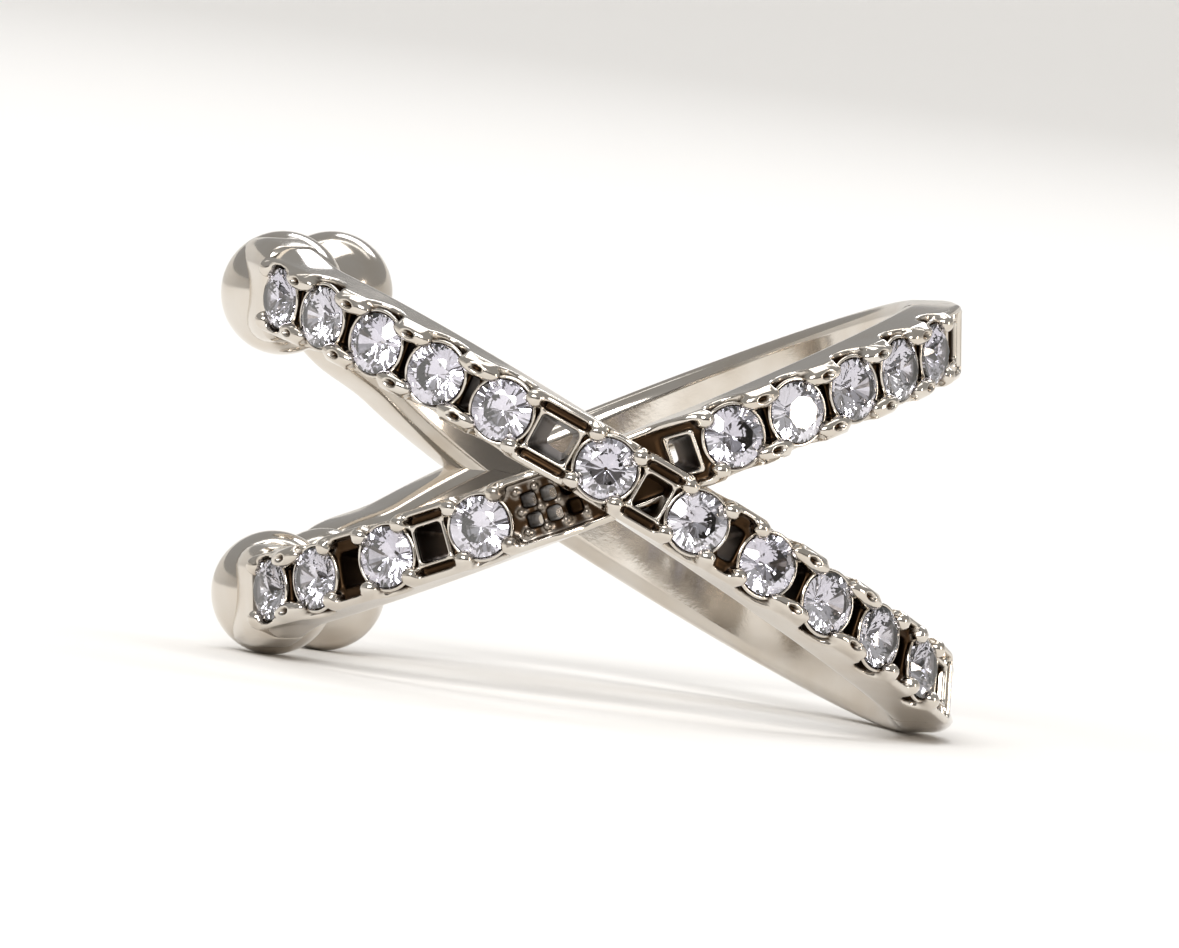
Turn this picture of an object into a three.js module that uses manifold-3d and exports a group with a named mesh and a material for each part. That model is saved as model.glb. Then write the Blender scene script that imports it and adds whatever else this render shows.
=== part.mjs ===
// Criss-cross ear cuff: two pave-set bands that cross at the front, run round as plain
// strips, cross again at the back and end in ball tips on both sides of an open mouth.
// Millimetres, +Z up. The cuff lies on its side, as it rests on a table, with the origin
// under the middle of its box. Angles go round the cuff: 0 at the front crossing (-Y),
// 90 on the right (+X), 180 at the back.
import * as THREE from 'three';
import { mergeVertices } from 'three/addons/utils/BufferGeometryUtils.js';
import { ConvexGeometry } from 'three/addons/geometries/ConvexGeometry.js';
import Module from 'manifold-3d';

const wasm = await Module();
wasm.setup();

const deg = Math.PI / 180;

// round brilliants
const stoneDiameter = 1.05;
const stoneTableShare = 0.56; // table width as a share of the stone
const crownHeight = 0.17;
const pavilionDepth = 0.45;
const girdleThickness = 0.04;

// pave bands
const boreRadius = 5.3; // inner face of the cuff
const bandThickness = 1.1; // radial, to the rail tops
const rimWall = 0.085; // metal beside a stone's recess
const recessGap = 0.04; // open gap round a stone's girdle
const setClearance = 0.02; // prongs and seat to the stone
const railWidth = 0.13;
const grooveDepth = 0.17; // rail tops down to the floor between the stones
const girdleDepth = 0.1; // rail tops down to the girdles
const seatWall = 0.04; // metal between a stone's recess and a window
const boreUnderStone = 0.64; // light hole below each stone
const stoneGap = 0.284; // least metal between neighbours, measured round the cuff
const windowWidth = 0.62; // pierced windows between the seats, across the band
const edgeRound = 0.12; // softened inner edges
const sweepStep = 8 * deg;
const seatSides = 10;

// bead prongs, four to a stone
const prongDiameter = 0.29;
const prongRise = 0.1; // above the rail tops
const prongBite = 0.06; // how far a prong reaches over the girdle
const prongInset = 0.02; // band's side to a prong's side
const prongTopShare = 0.6; // a prong narrows to this share at its top

// band paths: height = level + rise * sin(angle - lead)
const overBand = {
  name: 'over_band',
  level: -0.237,
  rise: -3.46,
  lead: 5.85 * deg,
  // stone places in stone pitches from the crossing, left to right
  places: [-5.43, -4.46, -3.48, -2.54, -1.6, -0.21, 1.02, 2.03, 3.01, 4.02, 5.15],
  tipLead: 9.4 * deg, // pave end to the middle of the front ball tip
  tipShift: -0.1, // front ball tip off the path, along the cuff's axis
};
const underBand = {
  name: 'under_band',
  level: 0.237,
  rise: 2.402,
  lead: 2.87 * deg,
  places: [-5.53, -4.48, -3.22, -1.86, 1.5, 2.44, 3.4, 4.35, 5.32],
  tipLead: 11 * deg,
  tipShift: 0.08,
};

// where the under band thins to pass below the over band
const crossingDip = 0.42;
const dipFlat = 6 * deg;
const dipEnd = 13 * deg;

// pierced lattice beside the crossing, on the under band
const latticePlace = -1.05; // in stone pitches
const latticeHole = 0.24;
const latticeBar = 0.11;
const crossingWindowPlace = 0.84; // single window on the other side, in stone pitches
const crossingWindowLength = 0.5;

// plain back strips and ball tips
const stripWidth = 1.2;
const stripThickness = 1.1;
const stripRound = 0.26;
const startBlock = 0.6; // pave's left end to the first stone, in stone pitches
const endWindow = 0.72; // last stone to the window past it
const endBlock = 1.2; // last stone to the pave's right end
const backTipAngle = 232 * deg;
const tailStart = 185 * deg; // past here the bands spread to the back tips
const tipDiameter = 2.15;
const tipSides = 14;
const tipRingRadius = 5.6; // ball centres from the cuff's axis

const stoneRadius = stoneDiameter / 2;
const recessRadius = stoneRadius + recessGap;
const seatRadius = recessRadius + seatWall;
const bandWidth = 2 * (recessRadius + rimWall);
const outerRadius = boreRadius + bandThickness;
const girdleRadius = outerRadius - girdleDepth;
const pitch = (stoneDiameter + stoneGap) / outerRadius; // radians
const tipRadius = tipDiameter / 2;
const through = 2 * bandThickness; // reach of a cutter beyond the metal

const silver = () => new THREE.MeshStandardMaterial({ color: 0xc8c4c0, metalness: 1, roughness: 0.14 });
const zirconia = () => new THREE.MeshStandardMaterial({ color: 0xe9e8f2, metalness: 0, roughness: 0.03 });

function solidOf(geometry) {
  const bare = geometry.index ? geometry.toNonIndexed() : geometry.clone();
  bare.deleteAttribute('normal');
  bare.deleteAttribute('uv');
  const merged = mergeVertices(bare, 1e-5);
  return new wasm.Manifold(new wasm.Mesh({
    numProp: 3,
    vertProperties: new Float32Array(merged.attributes.position.array),
    triVerts: new Uint32Array(merged.index.array),
  }));
}

function geometryOf(solid) {
  const mesh = solid.getMesh();
  const geometry = new THREE.BufferGeometry();
  geometry.setAttribute('position', new THREE.BufferAttribute(new Float32Array(mesh.vertProperties), 3));
  geometry.setIndex(new THREE.BufferAttribute(new Uint32Array(mesh.triVerts), 1));
  geometry.computeVertexNormals();
  return geometry;
}

// local axes at an angle: x across the band (up), y out from the cuff's axis, z along it
function axesAt(band, angle) {
  const out = new THREE.Vector3(Math.sin(angle), -Math.cos(angle), 0);
  const along = new THREE.Vector3(
    girdleRadius * Math.cos(angle),
    girdleRadius * Math.sin(angle),
    (heightAt(band, angle + deg) - heightAt(band, angle - deg)) / (2 * deg),
  ).normalize();
  return { across: out.clone().cross(along), out, along };
}

const ringHeight = (band, angle) => band.level + band.rise * Math.sin(angle - band.lead);

// the tails bend until the back tips are level with the front ones
function heightAt(band, angle) {
  if (angle <= tailStart) return ringHeight(band, angle);
  const tipHeight = ringHeight(band, frontTipAngle(band)) + band.tipShift;
  const share = (angle - tailStart) / (backTipAngle - tailStart);
  return ringHeight(band, angle) + (tipHeight - ringHeight(band, backTipAngle)) * share ** 2;
}

function pointAt(band, angle, radius) {
  return new THREE.Vector3(radius * Math.sin(angle), -radius * Math.cos(angle), heightAt(band, angle));
}

function placeAt(band, angle, radius) {
  const { across, out, along } = axesAt(band, angle);
  return new THREE.Matrix4().makeBasis(across, out, along).setPosition(pointAt(band, angle, radius));
}

// spacing of two places on a band, along the metal
function spacing(band, from, to) {
  return pointAt(band, from, girdleRadius).distanceTo(pointAt(band, to, girdleRadius));
}

// a section [across, radius] swept round the cuff along a band's path
function sweep(band, section, from, to, radiusAt = (radius) => radius) {
  const shape = new THREE.Shape(section.map(([x, y]) => new THREE.Vector2(x, y)));
  const steps = Math.ceil((to - from) / sweepStep);
  const geometry = new THREE.ExtrudeGeometry(shape, { depth: 1, steps, bevelEnabled: false });
  const position = geometry.attributes.position;
  for (let i = 0; i < position.count; i++) {
    const angle = from + (to - from) * position.getZ(i);
    const point = pointAt(band, angle, radiusAt(position.getY(i), angle))
      .addScaledVector(axesAt(band, angle).across, position.getX(i));
    position.setXYZ(i, point.x, point.y, point.z);
  }
  return solidOf(geometry);
}

function paveSection() {
  const half = bandWidth / 2;
  const floor = outerRadius - grooveDepth;
  return [
    [-half, boreRadius + edgeRound], [-half + edgeRound, boreRadius],
    [half - edgeRound, boreRadius], [half, boreRadius + edgeRound],
    [half, outerRadius], [half - railWidth, outerRadius],
    [half - railWidth, floor], [-half + railWidth, floor],
    [-half + railWidth, outerRadius], [-half, outerRadius],
  ];
}

function stripSection() {
  const half = stripWidth / 2;
  const outer = boreRadius + stripThickness;
  return [
    [-half, boreRadius + edgeRound], [-half + edgeRound, boreRadius],
    [half - edgeRound, boreRadius], [half, boreRadius + edgeRound],
    [half, outer - stripRound], [half - stripRound, outer],
    [-half + stripRound, outer], [-half, outer - stripRound],
  ];
}

// the under band's metal thins towards the crossing
function dipped(radius, angle) {
  const share = 1 - THREE.MathUtils.smoothstep(Math.abs(angle), dipFlat, dipEnd);
  return boreRadius + (radius - boreRadius) * (1 - share * crossingDip / bandThickness);
}

const stoneAngles = (band) => band.places.map((place) => place * pitch);
const paveStart = (band) => stoneAngles(band)[0] - startBlock * pitch;
const paveEnd = (band) => stoneAngles(band).at(-1) + endBlock * pitch;

function ballAt(center) {
  const ball = new THREE.SphereGeometry(tipRadius, tipSides, Math.round(tipSides * 0.65));
  ball.translate(center.x, center.y, center.z);
  return solidOf(ball);
}

const frontTipAngle = (band) => paveStart(band) - band.tipLead;

function frontTip(band) {
  const center = pointAt(band, frontTipAngle(band), tipRingRadius);
  return center.setZ(center.z + band.tipShift);
}

const backTip = (band) => pointAt(band, backTipAngle, tipRingRadius);

// light hole, seat cone and recess, from below up, girdle plane at y = 0
function seatCutter(band, angle) {
  const bore = boreUnderStone / 2;
  const coneAt = (radius) => -pavilionDepth * (1 - radius / stoneRadius) - 2 * setClearance;
  const profile = [
    [0, -through], [bore, -through], [bore, coneAt(bore)],
    [recessRadius, coneAt(recessRadius)], [recessRadius, through], [0, through],
  ];
  const cutter = new THREE.LatheGeometry(profile.map(([x, y]) => new THREE.Vector2(x, y)), seatSides);
  cutter.applyMatrix4(placeAt(band, angle, girdleRadius));
  return solidOf(cutter);
}

// the stone's own space, eight-sided, with a flat side towards each prong
function stoneSpace(band, angle) {
  const corner = 1 / Math.cos(Math.PI / 8);
  const girdle = (stoneRadius + setClearance) * corner;
  const table = (stoneRadius * stoneTableShare + setClearance) * corner;
  const profile = [
    [0, -through], [girdle, -through], [girdle, girdleThickness / 2 + setClearance],
    [table, crownHeight + setClearance], [0, crownHeight + setClearance],
  ];
  const space = new THREE.LatheGeometry(profile.map(([x, y]) => new THREE.Vector2(x, y)), 8, Math.PI / 8);
  space.applyMatrix4(placeAt(band, angle, girdleRadius));
  return solidOf(space);
}

function prongSolids(band, angle) {
  const radius = prongDiameter / 2;
  const reach = stoneRadius + radius - prongBite; // stone's axis to a prong's axis
  const sideways = bandWidth / 2 - prongInset - radius;
  const lengthwise = Math.sqrt(Math.max(reach ** 2 - sideways ** 2, radius ** 2));
  const top = girdleDepth + prongRise;
  const foot = -(grooveDepth - girdleDepth) - seatWall; // rooted in the floor
  const profile = [
    [0, foot], [radius, foot], [prongTopShare * radius, top], [0, top],
  ];
  const solids = [];
  for (const x of [-sideways, sideways]) {
    for (const z of [-lengthwise, lengthwise]) {
      const prong = new THREE.LatheGeometry(profile.map(([r, y]) => new THREE.Vector2(r, y)), 4, Math.PI / 4);
      prong.translate(x, 0, z);
      prong.applyMatrix4(placeAt(band, angle, girdleRadius));
      solids.push(solidOf(prong));
    }
  }
  return solids;
}

function windowCutter(band, angle, width, length, shiftAcross = 0, shiftAlong = 0) {
  const cutter = new THREE.BoxGeometry(width, 2 * through, length);
  cutter.translate(shiftAcross, 0, shiftAlong);
  cutter.applyMatrix4(placeAt(band, angle, girdleRadius));
  return solidOf(cutter);
}

// windows between neighbouring seats, and one past the last stone on the right
function windowCutters(band) {
  const angles = stoneAngles(band);
  const cutters = [];
  for (let i = 0; i + 1 < angles.length; i++) {
    if (band === underBand && angles[i] < 0 && angles[i + 1] > 0) continue; // the crossing
    const room = spacing(band, angles[i], angles[i + 1]) - 2 * seatRadius;
    if (room > 0) cutters.push(windowCutter(band, (angles[i] + angles[i + 1]) / 2, windowWidth, room));
  }
  const end = angles.at(-1) + endWindow * pitch;
  const room = spacing(band, angles.at(-1), end) * 2 - 2 * seatRadius;
  if (room > 0) cutters.push(windowCutter(band, end, windowWidth, room));
  return cutters;
}

function crossingCutters() {
  const step = (latticeHole + latticeBar) / 2;
  const cutters = [windowCutter(underBand, crossingWindowPlace * pitch, windowWidth, crossingWindowLength)];
  for (const x of [-step, step]) {
    for (const z of [-step, step]) {
      cutters.push(windowCutter(underBand, latticePlace * pitch, latticeHole, latticeHole, x, z));
    }
  }
  return cutters;
}

function buildFrame() {
  const bands = [overBand, underBand];
  let metal = null;
  const join = (solid) => { metal = metal ? metal.add(solid) : solid; };
  for (const band of bands) {
    const shape = band === underBand ? dipped : undefined;
    join(sweep(band, paveSection(), paveStart(band), paveEnd(band), shape));
    const lap = stripRound / outerRadius; // strips start inside the pave's ends
    join(sweep(band, stripSection(), paveEnd(band) - lap, backTipAngle));
    join(sweep(band, stripSection(), frontTipAngle(band), paveStart(band) + lap));
    join(ballAt(frontTip(band)));
    join(ballAt(backTip(band)));
  }
  for (const band of bands) {
    for (const angle of stoneAngles(band)) metal = metal.subtract(seatCutter(band, angle));
    for (const cutter of windowCutters(band)) metal = metal.subtract(cutter);
  }
  for (const cutter of crossingCutters()) metal = metal.subtract(cutter);
  for (const band of bands) {
    for (const angle of stoneAngles(band)) {
      const space = stoneSpace(band, angle);
      for (const prong of prongSolids(band, angle)) join(prong.subtract(space));
    }
  }
  return metal;
}

function stoneGeometry() {
  const ring = (radius, y, count) => Array.from({ length: count }, (_, i) => {
    const turn = i / count * 2 * Math.PI;
    return new THREE.Vector3(radius * Math.cos(turn), y, radius * Math.sin(turn));
  });
  return new ConvexGeometry([
    ...ring(stoneRadius * stoneTableShare, crownHeight, 8),
    ...ring(stoneRadius, girdleThickness / 2, 16),
    ...ring(stoneRadius, -girdleThickness / 2, 16),
    new THREE.Vector3(0, -pavilionDepth, 0),
  ]);
}

// The three places it stands on: both ball tips of the under band, and the low right arm
// of the over band. The floor plane is tilted until it touches all three.
function restingUp() {
  const half = stripWidth / 2;
  const arm = [];
  for (let angle = 60 * deg; angle <= 120 * deg; angle += deg) {
    for (const radius of [boreRadius + edgeRound, boreRadius + stripThickness - stripRound]) {
      arm.push(pointAt(overBand, angle, radius).addScaledVector(axesAt(overBand, angle).across, -half));
    }
  }
  const up = new THREE.Vector3(0, 0, 1);
  for (let round = 0; round < 12; round++) {
    const lowest = arm.reduce((a, b) => (b.dot(up) < a.dot(up) ? b : a));
    const front = frontTip(underBand).addScaledVector(up, -tipRadius);
    const back = backTip(underBand).addScaledVector(up, -tipRadius);
    up.crossVectors(back.clone().sub(lowest), front.clone().sub(lowest)).normalize();
    if (up.z < 0) up.negate();
  }
  return up;
}

const cuff = new THREE.Group();
const laid = new THREE.Group();
cuff.add(laid);

const frame = new THREE.Mesh(geometryOf(buildFrame()), silver());
frame.name = 'cuff_frame';
laid.add(frame);

for (const band of [overBand, underBand]) {
  stoneAngles(band).forEach((angle, i) => {
    const stone = new THREE.Mesh(stoneGeometry(), zirconia());
    stone.name = `${band.name}_stone_${String(i + 1).padStart(2, '0')}`;
    placeAt(band, angle, girdleRadius).decompose(stone.position, stone.quaternion, stone.scale);
    laid.add(stone);
  });
}

laid.quaternion.setFromUnitVectors(restingUp(), new THREE.Vector3(0, 0, 1));
const box = new THREE.Box3().setFromObject(laid, true);
const middle = box.getCenter(new THREE.Vector3());
laid.position.set(-middle.x, -middle.y, -box.min.z);

export default cuff;
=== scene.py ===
from math import atan, cos, degrees, pi, radians, sin, sqrt, tan

import bmesh
import bpy
import numpy as np
from mathutils import Matrix, Vector


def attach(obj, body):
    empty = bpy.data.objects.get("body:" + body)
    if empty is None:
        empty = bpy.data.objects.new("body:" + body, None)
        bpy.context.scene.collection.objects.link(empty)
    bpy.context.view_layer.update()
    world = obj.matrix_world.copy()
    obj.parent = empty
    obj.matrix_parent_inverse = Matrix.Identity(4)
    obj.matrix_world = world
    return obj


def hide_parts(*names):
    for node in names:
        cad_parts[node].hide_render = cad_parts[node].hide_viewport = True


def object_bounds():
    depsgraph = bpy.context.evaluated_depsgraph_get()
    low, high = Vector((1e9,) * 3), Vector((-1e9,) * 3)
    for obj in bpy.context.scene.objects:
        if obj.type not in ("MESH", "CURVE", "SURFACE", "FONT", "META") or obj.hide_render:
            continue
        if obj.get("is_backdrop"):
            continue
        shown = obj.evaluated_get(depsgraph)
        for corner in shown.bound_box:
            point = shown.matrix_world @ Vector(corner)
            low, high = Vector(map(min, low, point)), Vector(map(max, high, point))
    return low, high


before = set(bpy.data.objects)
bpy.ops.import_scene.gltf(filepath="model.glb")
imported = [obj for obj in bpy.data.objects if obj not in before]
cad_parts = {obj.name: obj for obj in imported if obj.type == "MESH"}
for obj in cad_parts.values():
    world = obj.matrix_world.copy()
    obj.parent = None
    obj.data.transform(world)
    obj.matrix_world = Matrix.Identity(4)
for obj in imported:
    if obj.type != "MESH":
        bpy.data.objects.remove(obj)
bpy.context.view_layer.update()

print("frame loaded:", len(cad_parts), "nodes")

# Everything is modelled in millimetres round the cuff's own axis and laid down at the end.
# Angles: 0 at the front crossing, 90 degrees on the right, 180 at the back.
ring = {
    "bore": 5.3,  # inner face of the cuff
    "outer": 6.4,  # rail tops
    "girdle": 6.3,  # girdles of the stones
    "tipRing": 5.6,  # middles of the ball tips
    "tailStart": radians(185),  # past here the bands spread to the back tips
    "backTip": radians(232),
    "paveBefore": 0.6,  # in pitches, how far a pave part runs past its first stone
    "paveAfter": 1.2,  # and past its last
}
thickness = ring["outer"] - ring["bore"]

brilliant = {
    "diameter": 1.05,
    "tableShare": 0.56,
    "crown": 0.17,
    "pavilion": 0.45,
    "girdle": 0.04,
    "upperTips": 0.76,  # how near the middle the upper girdle facets reach
    "lowerTips": 0.25,
    "starTilt": radians(21),
    "sides": 64,
}
stoneRadius = brilliant["diameter"] / 2
pitch = (brilliant["diameter"] + 0.284) / ring["outer"]  # stone to stone where they sit closest

# height along the cuff's axis = level + rise * sin(angle - lead)
overBand = {
    "name": "over_band",
    "level": -0.237,
    "rise": -3.46,
    "lead": radians(5.85),
    "stones": [-5.43, -4.46, -3.48, -2.54, -1.6, -0.21, 1.02, 2.03, 3.01, 4.02, 5.15],  # in pitches
    "tipLead": radians(9.4),
    "tipShift": -0.1,
}
underBand = {
    "name": "under_band",
    "level": 0.237,
    "rise": 2.402,
    "lead": radians(2.87),
    "stones": [-5.53, -4.48, -3.22, -1.86, 1.5, 2.44, 3.4, 4.35, 5.32],
    "tipLead": radians(11),
    "tipShift": 0.08,
}


def ringHeight(band, angle):
    return band["level"] + band["rise"] * np.sin(angle - band["lead"])


def heightAt(band, angle):
    reach = ring["backTip"] - ring["tailStart"]
    share = np.clip((angle - ring["tailStart"]) / reach, 0, None)
    lift = tipHeight(band) - ringHeight(band, ring["backTip"])
    return ringHeight(band, angle) + lift * share**2


def stoneAngles(band):
    return [place * pitch for place in band["stones"]]


def paveStart(band):
    return stoneAngles(band)[0] - ring["paveBefore"] * pitch


def paveEnd(band):
    return stoneAngles(band)[-1] + ring["paveAfter"] * pitch


def frontTip(band):
    return paveStart(band) - band["tipLead"]


def tipHeight(band):
    return ringHeight(band, frontTip(band)) + band["tipShift"]


def axesAt(band, angle):
    # unit vectors along the band, across it and out from the axis, as rows
    step = radians(1)
    rise = (heightAt(band, angle + step) - heightAt(band, angle - step)) / (2 * step)
    out = np.stack([np.sin(angle), -np.cos(angle), 0 * angle], axis=-1)
    along = np.stack([ring["girdle"] * np.cos(angle), ring["girdle"] * np.sin(angle), rise], axis=-1)
    along /= np.linalg.norm(along, axis=-1, keepdims=True)
    return along, np.cross(out, along), out


def ringPoints(band, angle, radius):
    return np.stack([radius * np.sin(angle), -radius * np.cos(angle), heightAt(band, angle)], axis=-1)


for band in (overBand, underBand):
    # length along the girdles, from the crossing, for every angle of the path
    band["angles"] = np.linspace(radians(-100), radians(245), 3451)
    points = ringPoints(band, band["angles"], ring["girdle"])
    steps = np.linalg.norm(np.diff(points, axis=0), axis=1)
    run = np.concatenate([[0], np.cumsum(steps)])
    band["lengths"] = run - np.interp(0, band["angles"], run)


def lengthAt(band, angle):
    return float(np.interp(angle, band["angles"], band["lengths"]))


crossing = {"dip": 0.42, "flat": radians(6), "end": radians(13)}  # the under band passes below


def wrapRound(band, flat):
    # flat points: x along the band, y across it, z above the rail tops
    angle = np.interp(flat[:, 0], band["lengths"], band["angles"])
    deep = -flat[:, 2]
    if band is underBand:
        away = np.clip((np.abs(angle) - crossing["flat"]) / (crossing["end"] - crossing["flat"]), 0, 1)
        share = 1 - away * away * (3 - 2 * away)
        deep = thickness - (thickness - deep) * (1 - share * crossing["dip"] / thickness)
    across = axesAt(band, angle)[1]
    return ringPoints(band, angle, ring["outer"] - deep) + across * flat[:, 1:2]


def placeAt(band, angle, radius):
    along, across, out = axesAt(band, np.array(angle))
    place = Matrix((along, across, out)).transposed().to_4x4()
    place.translation = Vector(ringPoints(band, np.array(angle), radius))
    return place


def nodeMiddle(name):
    corners = {tuple(round(value * 1e6) for value in v.co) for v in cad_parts[name].data.vertices}
    return sum((Vector(corner) for corner in corners), Vector()) / len(corners) / 1000


def threePointFrame(a, b, c):
    x = (b - a).normalized()
    z = x.cross(c - a).normalized()
    turn = Matrix((x, z.cross(x), z)).transposed().to_4x4()
    return Matrix.Translation(a) @ turn


# how the cuff lies on the floor, read off three stones of the frame
middleRise = (8 * brilliant["crown"] - brilliant["pavilion"]) / 41  # of a packed stone's corners
guides = [(overBand, 0), (overBand, 10), (underBand, 8)]
girdleMiddle = ring["girdle"] + middleRise
inRing = [placeAt(band, stoneAngles(band)[i], girdleMiddle).translation for band, i in guides]
inFrame = [nodeMiddle(f"{band['name']}_stone_{i + 1:02d}") for band, i in guides]
layDown = threePointFrame(*inFrame) @ threePointFrame(*inRing).inverted()
toMetres = Matrix.Scale(0.001, 4) @ layDown
print("laid at", [round(v, 4) for v in layDown.translation])


def applied(thing):
    # the mesh with its modifiers, and the object put away
    seen = thing.evaluated_get(bpy.context.evaluated_depsgraph_get())
    mesh = bpy.data.meshes.new_from_object(seen)
    old = thing.data
    bpy.data.objects.remove(thing)
    bpy.data.meshes.remove(old)
    return mesh


def asObject(name, mesh):
    if isinstance(mesh, bmesh.types.BMesh):
        bm, mesh = mesh, bpy.data.meshes.new(name)
        bm.to_mesh(mesh)
        bm.free()
    mesh.name = name
    thing = bpy.data.objects.new(name, mesh)
    bpy.context.scene.collection.objects.link(thing)
    return thing


def addBox(bm, low, high):
    low, high = Vector(low), Vector(high)
    made = bmesh.ops.create_cube(bm, size=1)["verts"]
    bmesh.ops.scale(bm, vec=high - low, verts=made)
    bmesh.ops.translate(bm, vec=(low + high) / 2, verts=made)
    return made


def addWindow(bm, middle, long, wide, taper):
    # a box down to the groove floor, then narrowing to the bore by the two shares in taper
    made = addBox(bm, (middle - long / 2, -wide / 2, -pave["groove"]), (middle + long / 2, wide / 2, 1))
    faces = {face for v in made for face in v.link_faces}
    floor = min(faces, key=lambda face: face.calc_center_median().z)
    lower = bmesh.ops.extrude_discrete_faces(bm, faces=[floor])["faces"][0].verts[:]
    depth = 2 * (thickness - pave["groove"])  # the shares hold halfway down, at the bore
    shares = [2 * share - 1 for share in taper]
    bmesh.ops.scale(bm, vec=(*shares, 1), space=Matrix.Translation((-middle, 0, 0)), verts=lower)
    bmesh.ops.translate(bm, vec=(0, 0, -depth), verts=lower)


def carve(mesh, cutter):
    # mesh less cutter, both closed
    body, tool = asObject("body", mesh), asObject("tool", cutter)
    cut = body.modifiers.new("cut", "BOOLEAN")
    cut.operation = "DIFFERENCE"
    cut.solver = "EXACT"
    cut.object = tool
    carved = applied(body)
    bpy.data.objects.remove(tool)
    return carved


pave = {
    "width": 1.3,
    "railWidth": 0.13,
    "groove": 0.17,  # rail tops down to the floor between the stones
    "endBlock": 0.15,  # solid metal past the groove's ends
    "recess": 0.58,  # radius of the round recess that takes a stone
    "lightHole": 0.32,
    "seatGap": 0.04,
    "seatReach": 0.605,  # stone's middle to the nearest window
    "endWindow": 0.72,  # last stone to the window past it, in pitches
    "windowWidth": 0.62,
    "windowTaper": 0.58,  # a window's size at the bore, as a share, more than half
    "collarWall": 0.07,
    "collarTop": -0.04,
    "collarFoot": 0.1,  # below the groove's floor
    "wideWindow": 0.5,  # from this length on, a window has a raised collar
    "notchHalf": 0.39,  # the U cut in both rails beside a stone
    "notchDepth": 0.36,
    "edgeRound": 0.08,
    "boreRound": 0.3,  # the long edges on the ear's side
    "startRound": 0.36,  # the corners that sink into the front ball
    "endRound": 0.14,
    "rimRadius": 0.572,  # thin bright rim round each stone, just under its girdle
    "rimWire": 0.033,
    "rimDrop": 0.035,
    "clawRadius": 0.165,
    "clawRise": 0.12,
    "clawPost": 0.3,  # length of the post below the head
    "freeStretch": 1.1,  # a claw that isn't shared, length to width
    "clawSide": 0.46,  # stone's middle to a claw, across the band
    "clawBite": 0.06,  # how far a claw reaches over the stone
    "sharedBelow": 1.5,  # stones closer than this share long claws
    "sharedTip": 0.27,  # stone's middle to the tip of a shared claw, along the band
    "slit": (0.15, 0.075, 0.13),  # half length, half width and depth of the slit in a claw, coloured dark as painted shade
    "slitAside": 0.24,  # a free claw's own slit, from its middle
    "flare": 0.2,  # the side walls swell by this into the ball tips
    "flareReach": (0.9, 2.6),  # from the middle of the ball
    "grain": 0.034,  # voxel of the cast surface
    "tumbling": 6,  # rounds of smoothing
    "keep": 0.75,  # share of the cast surface's triangles
}
through = 2.0  # mm, deeper than any part, for cutters that go right through


def windowRooms(band):
    # (middle, length) of each window between neighbouring seats, as lengths along the band
    places = [lengthAt(band, angle) for angle in stoneAngles(band)]
    rooms = []
    for here, there in zip(places, places[1:]):
        if band is underBand and here < 0 < there:
            continue  # the over band covers this part
        rooms.append(((here + there) / 2, there - here - 2 * pave["seatReach"]))
    end = lengthAt(band, stoneAngles(band)[-1] + pave["endWindow"] * pitch)
    rooms.append((end, 2 * (end - places[-1] - pave["seatReach"])))
    return [(middle, room) for middle, room in rooms if room > 0]


def soften(bm, edges, radius, segments):
    bmesh.ops.bevel(
        bm, geom=edges, offset=radius, affect="EDGES", segments=segments, profile=0.5, material=-1
    )


def edgesWhere(bm, chosen):
    return [edge for edge in bm.edges if all(chosen(v.co) for v in edge.verts)]


def paveBlank(start, end):
    # the bar with its corners and long edges rounded
    half, near = pave["width"] / 2, 0.01
    bm = bmesh.new()
    addBox(bm, (start, -half, -thickness), (end, half, 0))
    for x, radius in ((start, pave["startRound"]), (end, pave["endRound"])):
        upright = [
            edge for edge in edgesWhere(bm, lambda co: abs(co.x - x) < near)
            if abs(edge.verts[0].co.z - edge.verts[1].co.z) > thickness / 2
        ]
        soften(bm, upright, radius, 8)
    soften(bm, edgesWhere(bm, lambda co: co.z < near - thickness), pave["boreRound"], 6)
    soften(bm, edgesWhere(bm, lambda co: co.z > -near), pave["edgeRound"], 6)
    return bm


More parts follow.
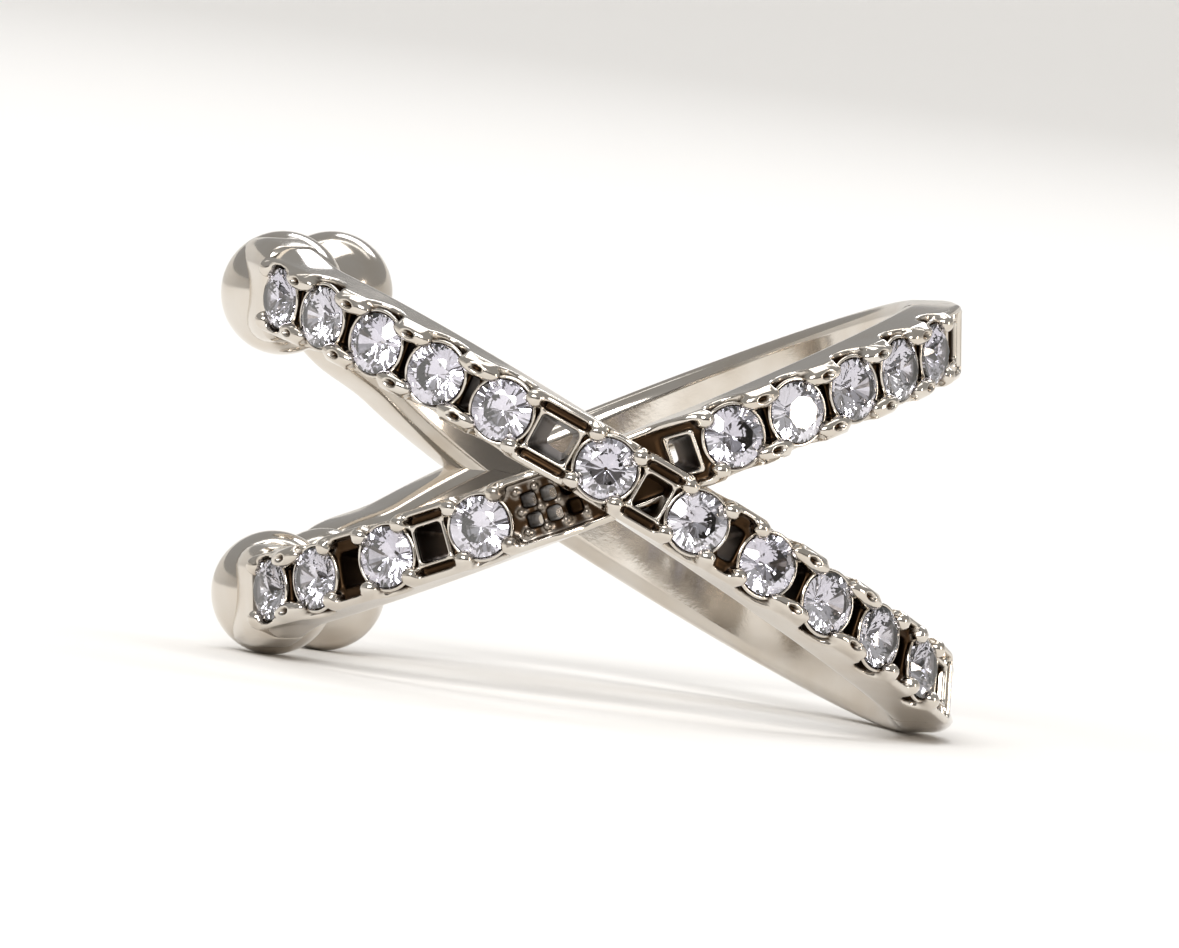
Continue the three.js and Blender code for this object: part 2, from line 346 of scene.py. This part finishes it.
def paveBar(band):
    # the pave part laid out straight, cut and pierced
    start, end = lengthAt(band, paveStart(band)), lengthAt(band, paveEnd(band))
    places = [lengthAt(band, angle) for angle in stoneAngles(band)]
    girdle = ring["girdle"] - ring["outer"]

    groove = bmesh.new()
    inner, block = pave["width"] / 2 - pave["railWidth"], pave["endBlock"]
    addBox(groove, (start + block, -inner, -pave["groove"]), (end - block, inner, 1))
    mesh = carve(paveBlank(start, end), groove)

    # a light hole from the bore, the cone of the seat and the straight recess above it
    seats = bmesh.new()
    hole, recess = pave["lightHole"], pave["recess"]
    coneLow, coneHigh = (
        girdle - brilliant["pavilion"] * (1 - radius / stoneRadius) - pave["seatGap"]
        for radius in (hole, recess)
    )
    profile = [
        (0, -through), (hole, -through), (hole, coneLow), (recess, coneHigh), (recess, 1), (0, 1),
    ]
    for place in places:
        corners = [seats.verts.new((place + radius, 0, z)) for radius, z in profile]
        edges = [seats.edges.new(pair) for pair in zip(corners, corners[1:])]
        bmesh.ops.spin(
            seats, geom=corners + edges, cent=(place, 0, 0), axis=(0, 0, 1), angle=2 * pi,
            steps=40, use_merge=True,
        )
    bmesh.ops.remove_doubles(seats, verts=seats.verts[:], dist=1e-4)
    bmesh.ops.recalc_face_normals(seats, faces=seats.faces[:])
    mesh = carve(mesh, seats)

    notches = bmesh.new()
    radius = (pave["notchHalf"] ** 2 + pave["notchDepth"] ** 2) / (2 * pave["notchDepth"])
    for place in places[1:]:  # the first stone sits between the swelled walls of the ball tip
        lift = Matrix.Translation((place, 0, radius - pave["notchDepth"]))
        bmesh.ops.create_cone(
            notches, cap_ends=True, segments=40, radius1=radius, radius2=radius, depth=3,
            matrix=lift @ Matrix.Rotation(pi / 2, 4, "X"),
        )
    mesh = carve(mesh, notches)

    windows = bmesh.new()
    taper = pave["windowTaper"]
    for middle, room in windowRooms(band):
        if room > pave["wideWindow"]:
            long = room - 2 * pave["collarWall"]
            addWindow(windows, middle, long, pave["windowWidth"], (taper, taper))
        else:
            addWindow(windows, middle, room, pave["windowWidth"], (1, taper))
    if band is underBand:
        addCrossingHoles(windows)
    return carve(mesh, windows)


lattice = {
    "place": -1.05,
    "hole": 0.27,
    "taper": 0.35,  # share of a hole's size left at the foot of its cutter
    "bar": 0.09,
    "pit": 0.5,  # depth of the blind pits in the next row
    "grain": 0.08,
    "grainRise": 0.02,
    "window": 0.84,
    "windowLength": 0.5,
    "collarLength": 0.501,  # outside, round that window
    "windowTaper": 0.54,
    "zone": 0.75,  # half the length of the net coloured towards the dark brown
    "goldAndShade": 0.6,  # how far the whole net, grains too, goes towards the dark brown: partly the unplated metal's own colour, partly painted shade under the over band
}


def addCrossingHoles(bm):
    # the pierced lattice on one side of the crossing, with blind pits next to it, and a window
    # on the other side
    middle = lengthAt(underBand, lattice["place"] * pitch)
    step, half = (lattice["hole"] + lattice["bar"]) / 2, lattice["hole"] / 2
    rows = ((middle - step, -through), (middle + step, -through), (middle + 3 * step, -lattice["pit"]))
    for x, floor in rows:
        for y in (-step, step):
            made = addBox(bm, (x - half, y - half, floor), (x + half, y + half, 0))
            if floor == -through:
                low = [v for v in made if v.co.z < -1]
                bmesh.ops.scale(
                    bm, vec=(lattice["taper"], lattice["taper"], 1),
                    space=Matrix.Translation((-x, -y, 0)), verts=low,
                )
    middle = lengthAt(underBand, lattice["window"] * pitch)
    long = lattice["windowLength"] - 2 * pave["collarWall"]
    addWindow(bm, middle, long, pave["windowWidth"], (lattice["windowTaper"],) * 2)


def addClaw(bm, x, stretch):
    # a pair across the band, each a short post with a rounded head
    radius, post = pave["clawRadius"], pave["clawPost"]
    head = pave["clawRise"] - radius
    longer = Matrix.Diagonal((stretch, 1, 1, 1))
    for y in (-pave["clawSide"], pave["clawSide"]):
        place = Matrix.Translation((x, y, head)) @ longer
        bmesh.ops.create_uvsphere(bm, u_segments=24, v_segments=14, radius=radius, matrix=place)
        bmesh.ops.create_cone(
            bm, cap_ends=True, segments=24, radius1=radius, radius2=radius, depth=post,
            matrix=Matrix.Translation((x, y, head - post / 2)) @ longer,
        )


def clawPlaces(band):
    # long claws between close neighbours, and round ones at the free side of a stone, each as
    # (place along the band, stretch, place of its slit)
    radius = pave["clawRadius"]
    reach = stoneRadius + radius - pave["clawBite"]
    lengthwise = sqrt(reach**2 - pave["clawSide"] ** 2)
    places = [lengthAt(band, angle) for angle in stoneAngles(band)]
    free = {(place, side) for place in places for side in (-1, 1)}
    claws = []
    for here, there in zip(places, places[1:]):
        if there - here < pave["sharedBelow"]:
            middle = (here + there) / 2
            claws.append((middle, ((there - here) / 2 - pave["sharedTip"]) / radius, middle))
            free -= {(here, 1), (there, -1)}
    for place, side in sorted(free):
        x = place + side * lengthwise
        claws.append((x, pave["freeStretch"], x + side * pave["slitAside"]))
    return claws


def slitShare(band, flat):
    # 1 in the middle of a claw's slit and 0 outside it
    long, wide, depth = pave["slit"]
    first = min(place for place, _, _ in clawPlaces(band))
    slits = np.array([slit for place, _, slit in clawPlaces(band) if place > first])
    along = np.abs(flat[:, :1] - slits).min(axis=1) / long
    aside = (np.abs(flat[:, 1]) - pave["clawSide"]) / wide
    return (1 - smoothStep(0.3, 1, np.hypot(along, aside))) * (flat[:, 2] > -depth)


def addLatticeGrains(bm):
    # small grains where the bars of the lattice meet
    middle = lengthAt(underBand, lattice["place"] * pitch)
    step = lattice["hole"] + lattice["bar"]
    for i in range(-1, 3):
        for y in (-step, 0, step):
            place = Matrix.Translation((middle + i * step, y, lattice["grainRise"] - pave["groove"]))
            bmesh.ops.create_uvsphere(
                bm, u_segments=12, v_segments=8, radius=lattice["grain"], matrix=place
            )


def addCollars(bm, band):
    # raised rims round the wide windows
    wide, wall = pave["windowWidth"] / 2, pave["collarWall"]
    low, high = -pave["groove"] - pave["collarFoot"], pave["collarTop"]
    rooms = [(middle, room) for middle, room in windowRooms(band) if room > pave["wideWindow"]]
    if band is underBand:
        rooms.append((lengthAt(band, lattice["window"] * pitch), lattice["collarLength"]))
    for middle, room in rooms:
        reach = room / 2 - wall
        for side in (-1, 1):
            x, y = middle + side * (reach + wall / 2), side * (wide + wall / 2)
            addBox(bm, (x - wall / 2, -wide - wall, low), (x + wall / 2, wide + wall, high))
            addBox(bm, (middle - reach, y - wall / 2, low), (middle + reach, y + wall / 2, high))


def addRims(bm, band):
    # stands in the ring's own frame, not in the flat one
    ringlet = bmesh.new()
    wire = bmesh.ops.create_circle(
        ringlet, segments=8, radius=pave["rimWire"], matrix=Matrix.Rotation(pi / 2, 4, "X")
    )["verts"]
    bmesh.ops.translate(ringlet, vec=(pave["rimRadius"], 0, -pave["rimDrop"]), verts=wire)
    bmesh.ops.spin(
        ringlet, geom=wire + ringlet.edges[:], cent=(0, 0, 0), axis=(0, 0, 1), angle=2 * pi, steps=40,
        use_merge=True,
    )
    bmesh.ops.recalc_face_normals(ringlet, faces=ringlet.faces[:])
    for angle in stoneAngles(band):
        rim = bpy.data.meshes.new("rim")
        ringlet.to_mesh(rim)
        rim.transform(placeAt(band, angle, ring["girdle"]))
        bm.from_mesh(rim)
        bpy.data.meshes.remove(rim)
    ringlet.free()


def readPoints(mesh):
    points = np.empty(len(mesh.vertices) * 3, np.float32)
    mesh.vertices.foreach_get("co", points)
    return points.reshape(-1, 3).astype(float)


def writePoints(mesh, points):
    mesh.vertices.foreach_set("co", points.astype(np.float32).ravel())


def finishPiece(mesh, name, material, nodes, smooth=True):
    mesh.transform(toMetres)
    mesh.materials.clear()
    mesh.materials.append(material)
    mesh.shade_smooth() if smooth else mesh.shade_flat()
    mesh.update()
    piece = asObject(name, mesh)
    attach(piece, "root")
    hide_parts(*nodes)
    return piece


def linearColour(code):
    values = [int(code[i : i + 2], 16) / 255 for i in (1, 3, 5)]
    return [v / 12.92 if v <= 0.04045 else ((v + 0.055) / 1.055) ** 2.4 for v in values] + [1]


def newMaterial(name):
    material = bpy.data.materials.new(name)
    material.use_nodes = True
    material.node_tree.nodes.clear()
    return material, material.node_tree


def addNode(tree, kind, settings=None, inputs=None):
    # an input is a plain value or the output socket that feeds it
    node = tree.nodes.new(kind)
    for name, value in (settings or {}).items():
        setattr(node, name, value)
    for name, value in (inputs or {}).items():
        if isinstance(value, bpy.types.NodeSocket):
            tree.links.new(value, node.inputs[name])
        else:
            node.inputs[name].default_value = value
    return node


def perMetre(millimetres):
    return 1000 / millimetres


# Silver cast in wax-made moulds, tumbled and rhodium plated: a cool, very bright mirror on the
# outer faces. The cast floors and seats are out of reach of the polish and rougher; their dark
# brownish colour, also on the window walls and claw slits, is painted shade.
metalLook = {
    "bright": "#E3E0DB",
    "warm": "#C9BDAD",
    # deep: the dark brown painted shade for the floors, seats, window walls and claw slits
    "deep": "#3D2D1E",
    "roughness": 0.11,
    "deepRoughness": 0.38,
    "cloudSize": 0.9,  # mm, patches of slightly different polish
    "grainSize": 0.09,  # mm, tumbling marks, drawn coarser than real to show
    "grainDepth": 0.0012,  # mm
}


def rhodiumSilver():
    material, tree = newMaterial("rhodiumPlatedSilver")
    place = addNode(tree, "ShaderNodeTexCoord").outputs["Object"]
    # deep attribute from makePave: where painted shade darkens the recesses
    deep = addNode(tree, "ShaderNodeAttribute", {"attribute_name": "deep"}).outputs["Fac"]
    clouds = addNode(
        tree, "ShaderNodeTexNoise", None,
        {"Vector": place, "Scale": perMetre(metalLook["cloudSize"]), "Detail": 3, "Roughness": 0.5},
    ).outputs["Fac"]
    grain = addNode(
        tree, "ShaderNodeTexNoise", None,
        {"Vector": place, "Scale": perMetre(metalLook["grainSize"]), "Detail": 2, "Roughness": 0.6},
    ).outputs["Fac"]
    polished = addNode(
        tree, "ShaderNodeMix", {"data_type": "RGBA"},
        {"Factor": clouds, "A": linearColour(metalLook["bright"]),
         "B": linearColour(metalLook["warm"])},
    )
    colour = addNode(
        tree, "ShaderNodeMix", {"data_type": "RGBA"},
        {"Factor": deep, "A": polished.outputs["Result"], "B": linearColour(metalLook["deep"])},
    )
    outer = addNode(
        tree, "ShaderNodeMapRange", None,
        {"Value": clouds, "From Min": 0.3, "From Max": 0.7,
         "To Min": metalLook["roughness"] - 0.03, "To Max": metalLook["roughness"] + 0.05},
    ).outputs["Result"]
    roughness = addNode(
        tree, "ShaderNodeMix", {"data_type": "FLOAT"},
        {"Factor": deep, "A": outer, "B": metalLook["deepRoughness"]},
    )
    bump = addNode(
        tree, "ShaderNodeBump", None,
        {"Height": grain, "Strength": 0.6, "Distance": metalLook["grainDepth"] / 1000},
    )
    shader = addNode(
        tree, "ShaderNodeBsdfPrincipled", None,
        {"Base Color": colour.outputs["Result"], "Metallic": 1.0, "Roughness": roughness.outputs["Result"],
         "Normal": bump.outputs["Normal"]},
    )
    addNode(tree, "ShaderNodeOutputMaterial", None, {"Surface": shader.outputs["BSDF"]})
    return material


# Cubic zirconia, cut and polished: colourless glass-clear stone with a high index, so it throws
# light back in hard white and grey facets, here with a faint lavender cast.
stoneLook = {"clear": "#EDECF2", "tint": "#D9D5E8", "tintSize": 1.6, "ior": 2.16, "roughness": 0.035}


def cubicZirconia():
    material, tree = newMaterial("cubicZirconia")
    place = addNode(tree, "ShaderNodeTexCoord").outputs["Object"]
    patches = addNode(
        tree, "ShaderNodeTexNoise", None,
        {"Vector": place, "Scale": perMetre(stoneLook["tintSize"]), "Detail": 1},
    ).outputs["Fac"]
    colour = addNode(
        tree, "ShaderNodeMix", {"data_type": "RGBA"},
        {"Factor": patches, "A": linearColour(stoneLook["clear"]),
         "B": linearColour(stoneLook["tint"])},
    )
    shader = addNode(
        tree, "ShaderNodeBsdfPrincipled", None,
        {"Base Color": colour.outputs["Result"], "Roughness": stoneLook["roughness"],
         "IOR": stoneLook["ior"], "Transmission Weight": 1.0},
    )
    addNode(tree, "ShaderNodeOutputMaterial", None, {"Surface": shader.outputs["BSDF"]})
    return material


metal = rhodiumSilver()
zirconia = cubicZirconia()
print("materials made")


def smoothStep(low, high, value):
    share = np.clip((value - low) / (high - low), 0, 1)
    return share * share * (3 - 2 * share)


def markPaintedShade(mesh, values):
    layer = mesh.attributes.new("deep", "FLOAT", "POINT")
    layer.data.foreach_set("value", values.astype(np.float32))


def makePave(band):
    bm = bmesh.new()
    bm.from_mesh(paveBar(band))
    for x, stretch, _ in clawPlaces(band):
        addClaw(bm, x, stretch)
    addCollars(bm, band)
    if band is underBand:
        addLatticeGrains(bm)
    cast = asObject("cast", bm)
    remesh = cast.modifiers.new("cast surface", "REMESH")
    remesh.mode = "VOXEL"
    remesh.voxel_size = pave["grain"]
    tumble = cast.modifiers.new("tumbled", "SMOOTH")
    tumble.factor, tumble.iterations = 0.5, pave["tumbling"]
    lighter = cast.modifiers.new("lighter", "DECIMATE")
    lighter.ratio = pave["keep"]
    mesh = applied(cast)
    flat = readPoints(mesh)
    across, height = np.abs(flat[:, 1]), flat[:, 2]
    toTip = flat[:, 0] - lengthAt(band, frontTip(band))
    swell = (1 - smoothStep(*pave["flareReach"], toTip)) * smoothStep(0.02, 0.5, -height)
    flat[:, 1] += np.sign(flat[:, 1]) * pave["flare"] * swell * smoothStep(0.58, 0.64, across)
    slit = slitShare(band, flat)
    flat[:, 2] -= pave["slit"][2] * slit
    writePoints(mesh, wrapRound(band, flat))
    # deep: painted shade, dark brown on the floor between the rails, the seats round the stones, the
    # window walls and the claw slits
    aboveBore = 1 - smoothStep(thickness - 0.04, thickness, -height)
    floor = (1 - smoothStep(0.53, 0.6, across)) * smoothStep(0.06, 0.15, -height)
    places = np.array([lengthAt(band, angle) for angle in stoneAngles(band)])
    fromStone = np.hypot(np.abs(flat[:, :1] - places).min(axis=1), flat[:, 1])
    seat = 1 - smoothStep(pave["recess"] - 0.005, pave["recess"] + 0.035, fromStone)
    seat *= smoothStep(0.0, 0.1, -height)
    deep = np.maximum(np.maximum(floor, seat) * aboveBore, smoothStep(0.25, 0.7, slit))
    if band is underBand:
        # the net and its grain tops are coloured part way to the dark brown: painted shade under the over
        # band, partly the unplated metal
        fromNet = np.abs(flat[:, 0] - lengthAt(band, lattice["place"] * pitch))
        net = lattice["goldAndShade"] * (fromNet < lattice["zone"]) * (across < 0.5)
        onNet = smoothStep(-pave["groove"], 0.03 - pave["groove"], height) * (net > 0)
        deep = np.maximum(deep * (1 - onNet), net * aboveBore)
    markPaintedShade(mesh, deep)
    bm = bmesh.new()
    bm.from_mesh(mesh)
    addRims(bm, band)
    bm.to_mesh(mesh)
    bm.free()
    print(band["name"], "pave:", len(mesh.polygons), "faces")
    return finishPiece(mesh, f"{band['name']}_pave", metal, ["cuff_frame"])


strip = {
    "width": 1.2,
    "outerRound": 0.34,
    "innerRound": 0.28,
    "slice": 0.1,  # along the band
    "lanes": np.linspace(-0.3, 0.3, 9),  # cuts along the band, for the channel
    "blend": 1.4,  # length over which it widens to the pave part
    "channel": 0.13,  # the groove of the pave part runs out into the strip over channelRun
    "channelHalf": 0.46,
    "channelRun": 3.4,
    "neck": 0.4,  # how much wider it gets at the ball tips, as a share
    "neckReach": (0.7, 2.5),  # from the middle of the ball
    "tipDiameter": 2.15,
}


def makeStrips(band):
    # the plain strip round the back, the short front one, and the ball tips at both ends
    lap = strip["outerRound"] / ring["outer"]
    bm = bmesh.new()
    for first, last in (
        (paveEnd(band) - lap, ring["backTip"]),
        (frontTip(band), paveStart(band) + lap),
    ):
        first, last = lengthAt(band, first), lengthAt(band, last)
        made = bmesh.ops.create_cube(bm, size=1)["verts"]
        bmesh.ops.scale(bm, vec=(last - first, strip["width"], thickness), verts=made)
        bmesh.ops.translate(bm, vec=((first + last) / 2, 0, -thickness / 2), verts=made)
        long = {e for v in made for e in v.link_edges if abs(e.verts[0].co.x - e.verts[1].co.x) > 0.1}
        for rounding, outside in ((strip["outerRound"], True), (strip["innerRound"], False)):
            edges = [e for e in long if e.is_valid and (e.verts[0].co.z > -thickness / 2) == outside]
            soften(bm, edges, rounding, 6)
    low, high = (pick(v.co.x for v in bm.verts) for pick in (min, max))
    cuts = [((0, y, 0), (0, 1, 0)) for y in strip["lanes"]]
    cuts += [((x, 0, 0), (1, 0, 0)) for x in np.arange(low + strip["slice"], high, strip["slice"])]
    for point, normal in cuts:
        bmesh.ops.bisect_plane(
            bm, geom=bm.verts[:] + bm.edges[:] + bm.faces[:], dist=1e-5, plane_co=point, plane_no=normal
        )
    mesh = bpy.data.meshes.new("strips")
    bm.to_mesh(mesh)
    bm.free()
    flat = readPoints(mesh)
    pastPave = flat[:, 0] - lengthAt(band, paveEnd(band))
    toPave = np.maximum(pastPave, lengthAt(band, paveStart(band)) - flat[:, 0])
    toTip = np.minimum(
        np.abs(flat[:, 0] - lengthAt(band, frontTip(band))), lengthAt(band, ring["backTip"]) - flat[:, 0]
    )
    run, side = strip["channelRun"], strip["channelHalf"]
    runOut = (1 - smoothStep(0.3 * run, run, pastPave)) * (pastPave > -1)
    hollow = 1 - smoothStep(0.5 * side, side, np.abs(flat[:, 1]))
    flat[:, 2] -= strip["channel"] * runOut * hollow * (flat[:, 2] > -0.3)  # the outer face alone
    join = pave["width"] / strip["width"] - 1
    flat[:, 1] *= 1 + join * (1 - smoothStep(0, strip["blend"], toPave))
    neck = 1 - smoothStep(*strip["neckReach"], toTip)
    flat[:, 1] *= 1 + strip["neck"] * neck
    writePoints(mesh, wrapRound(band, flat))
    bm = bmesh.new()
    bm.from_mesh(mesh)
    bpy.data.meshes.remove(mesh)
    for angle in (frontTip(band), ring["backTip"]):
        middle = Vector(ringPoints(band, np.array(angle), ring["tipRing"]))
        middle.z = tipHeight(band)
        bmesh.ops.create_uvsphere(
            bm, u_segments=64, v_segments=32, radius=strip["tipDiameter"] / 2,
            matrix=Matrix.Translation(middle),
        )
    mesh = bpy.data.meshes.new("strips")
    bm.to_mesh(mesh)
    bm.free()
    markPaintedShade(mesh, np.zeros(len(mesh.vertices)))
    print(band["name"], "strips:", len(mesh.polygons), "faces")
    return finishPiece(mesh, f"{band['name']}_strip", metal, ["cuff_frame"])


def cutBrilliant():
    # a round blank, ground down facet by facet as a cutter does it
    size = brilliant
    radius, table, edge = stoneRadius, stoneRadius * size["tableShare"], size["girdle"] / 2
    bm = bmesh.new()
    bmesh.ops.create_cone(
        bm, cap_ends=True, segments=size["sides"], radius1=radius, radius2=radius, depth=2
    )

    def grind(azimuth, slope, at, side):
        # side is 1 above the girdle and -1 below it; at is (distance from the axis, height)
        normal = Vector((slope, 0, side)).normalized()
        turn = Matrix.Rotation(azimuth, 3, "Z")
        made = bmesh.ops.bisect_plane(
            bm, geom=bm.verts[:] + bm.edges[:] + bm.faces[:], dist=1e-6, clear_outer=True,
            plane_co=turn @ Vector((at[0], 0, at[1])), plane_no=turn @ normal,
        )
        rim = [part for part in made["geom_cut"] if isinstance(part, bmesh.types.BMEdge)]
        if len(rim) > 2:
            bmesh.ops.edgeloop_fill(bm, edges=rim)

    eighth, narrow = pi / 4, cos(pi / 16)
    crownSlope = (size["crown"] - edge) / (radius - table)
    upperSlope = crownSlope * (1 - size["upperTips"] * narrow) / (1 - size["upperTips"])
    baseSlope = (size["pavilion"] - edge) / radius
    lowerSlope = baseSlope * (1 - size["lowerTips"] * narrow) / (1 - size["lowerTips"])
    grind(0, 0, (0, size["crown"]), 1)
    for i in range(8):
        grind(i * eighth, crownSlope, (radius, edge), 1)
        grind(i * eighth, baseSlope, (radius, -edge), -1)
    for i in range(8):
        middle = (i + 0.5) * eighth
        grind(middle, tan(size["starTilt"]), (table * cos(pi / 8), size["crown"]), 1)
        for azimuth in (middle - eighth / 4, middle + eighth / 4):
            grind(azimuth, upperSlope, (radius, edge), 1)
            grind(azimuth, lowerSlope, (radius, -edge), -1)
    bmesh.ops.recalc_face_normals(bm, faces=bm.faces[:])
    mesh = bpy.data.meshes.new("brilliant")
    bm.to_mesh(mesh)
    bm.free()
    print("brilliant cut:", len(mesh.polygons), "facets and girdle faces")
    return mesh


for band in (overBand, underBand):
    makePave(band)
    makeStrips(band)

blank = cutBrilliant()
for band in (overBand, underBand):
    for i, angle in enumerate(stoneAngles(band)):
        name = f"{band['name']}_stone_{i + 1:02d}"
        stone = blank.copy()
        stone.transform(placeAt(band, angle, ring["girdle"]))
        finishPiece(stone, name + "_cut", zirconia, [name], smooth=False)
bpy.data.meshes.remove(blank)
print("stones set")


# pale studio: a floor that curves up into a low wall all round, and soft lamps
studio = {
    "floorColour": "#F2F0ED",
    "floorRadius": 0.6,  # metres
    "wallRadius": 0.85,
    "wallHeight": 0.22,
    "frontColour": "#85817D",  # the paper behind the camera, which gives the metal its darker tones
    "front": (-0.2, -0.6),  # metres, where it starts to darken and where it is darkest
    "skyColour": "#F2F1EF",
    "skyStrength": 0.42,
}


def makeFloor():
    bm = bmesh.new()
    bend = studio["wallRadius"] - studio["floorRadius"]
    corners = [bm.verts.new((radius, 0, 0)) for radius in (0, 0.1, 0.3, studio["floorRadius"])]
    for i in range(1, 13):
        turn = i / 12 * pi / 2
        corners.append(bm.verts.new((
            studio["floorRadius"] + bend * sin(turn), 0, studio["wallHeight"] * (1 - cos(turn)),
        )))
    edges = [bm.edges.new(pair) for pair in zip(corners, corners[1:])]
    bmesh.ops.spin(
        bm, geom=corners + edges, cent=(0, 0, 0), axis=(0, 0, 1), angle=2 * pi, steps=96, use_merge=True
    )
    bmesh.ops.remove_doubles(bm, verts=bm.verts[:], dist=1e-6)
    bmesh.ops.recalc_face_normals(bm, faces=bm.faces[:])
    floor = asObject("floor", bm)
    floor.data.shade_smooth()
    material, tree = newMaterial("paleMattPaper")
    place = addNode(tree, "ShaderNodeTexCoord").outputs["Object"]
    fibres = addNode(
        tree, "ShaderNodeTexNoise", None, {"Vector": place, "Scale": perMetre(1.5), "Detail": 2}
    ).outputs["Fac"]
    roughness = addNode(
        tree, "ShaderNodeMapRange", None, {"Value": fibres, "To Min": 0.75, "To Max": 0.9}
    ).outputs["Result"]
    depth = addNode(tree, "ShaderNodeSeparateXYZ", None, {"Vector": place}).outputs["Y"]
    toFront = addNode(
        tree, "ShaderNodeMapRange", None,
        {"Value": depth, "From Min": studio["front"][0], "From Max": studio["front"][1]},
    ).outputs["Result"]
    colour = addNode(
        tree, "ShaderNodeMix", {"data_type": "RGBA"},
        {"Factor": toFront, "A": linearColour(studio["floorColour"]),
         "B": linearColour(studio["frontColour"])},
    ).outputs["Result"]
    shader = addNode(
        tree, "ShaderNodeBsdfPrincipled", None, {"Base Color": colour, "Roughness": roughness}
    )
    addNode(tree, "ShaderNodeOutputMaterial", None, {"Surface": shader.outputs["BSDF"]})
    floor.data.materials.append(material)
    floor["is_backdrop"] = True


makeFloor()

world = bpy.data.worlds.new("studio")
world.use_nodes = True
world.node_tree.nodes["Background"].inputs["Color"].default_value = linearColour(studio["skyColour"])
world.node_tree.nodes["Background"].inputs["Strength"].default_value = studio["skyStrength"]
bpy.context.scene.world = world

bpy.context.scene.view_settings.view_transform = "Standard"  # whites stay white

lamps = {
    "top": {"place": (-0.05, 0.05, 0.6), "size": (0.42, 0.42), "watts": 1.3, "colour": "#FFFDFA"},
    "key": {"place": (-0.16, -0.42, 0.28), "size": (0.3, 0.18), "watts": 2.0, "colour": "#FFFFFF"},
    "side": {"place": (0.42, -0.24, 0.12), "size": (0.05, 0.2), "watts": 0.5, "colour": "#FFF3E6"},
    "back": {"place": (0.16, 0.4, 0.34), "size": (0.3, 0.12), "watts": 0.6, "colour": "#F6F9FF"},
    "paper": {
        "place": (0, 0.3, 0.55), "aim": (0, 0.8, 0.08), "size": (0.9, 0.2), "watts": 1.3,
        "colour": "#FFFFFF",
    },
}
for name, lamp in lamps.items():
    light = bpy.data.lights.new(name, "AREA")
    light.shape = "RECTANGLE"
    light.size, light.size_y = lamp["size"]
    light.energy = lamp["watts"]
    light.color = linearColour(lamp["colour"])[:3]
    thing = bpy.data.objects.new(name, light)
    thing.location = lamp["place"]
    ahead = Vector(lamp.get("aim", (0, 0, 0))) - Vector(lamp["place"])
    thing.rotation_euler = ahead.to_track_quat("-Z", "Y").to_euler()
    thing.visible_camera = False
    bpy.context.scene.collection.objects.link(thing)

# the photograph's own angle on the cuff, from a long way off
shot = {
    "turn": radians(-4.43),  # round the cuff's axis
    "elevation": radians(0.78),
    "roll": radians(1.33),
    "lens": 700,
    "frameWidth": 20.5,  # mm, at the cuff
}


def makeCamera():
    right = Vector((1, 0, 0))
    up = Vector((0, sin(shot["elevation"]), cos(shot["elevation"])))
    ahead = Vector((0, cos(shot["elevation"]), -sin(shot["elevation"])))
    rolledRight = right * cos(shot["roll"]) + up * sin(shot["roll"])
    rolledUp = up * cos(shot["roll"]) - right * sin(shot["roll"])
    axes = Matrix((rolledRight, rolledUp, -ahead)).transposed()
    axes = layDown.to_3x3() @ Matrix.Rotation(shot["turn"], 3, "Z") @ axes
    data = bpy.data.cameras.new("photo")
    data.lens = shot["lens"]
    data.sensor_width = 36
    data.clip_start, data.clip_end = 0.01, 10
    distance = shot["frameWidth"] / 1000 * shot["lens"] / data.sensor_width
    low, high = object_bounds()
    middle = (low + high) / 2
    place = axes.to_4x4()
    place.translation = middle + axes.col[2] * distance
    camera = bpy.data.objects.new("photo", data)
    camera.matrix_world = place
    bpy.context.scene.collection.objects.link(camera)
    bpy.context.scene.camera = camera
    up = degrees(atan(axes.col[2].z))
    print("camera", round(distance * 1000), "mm away,", round(up, 2), "degrees up")


makeCamera()
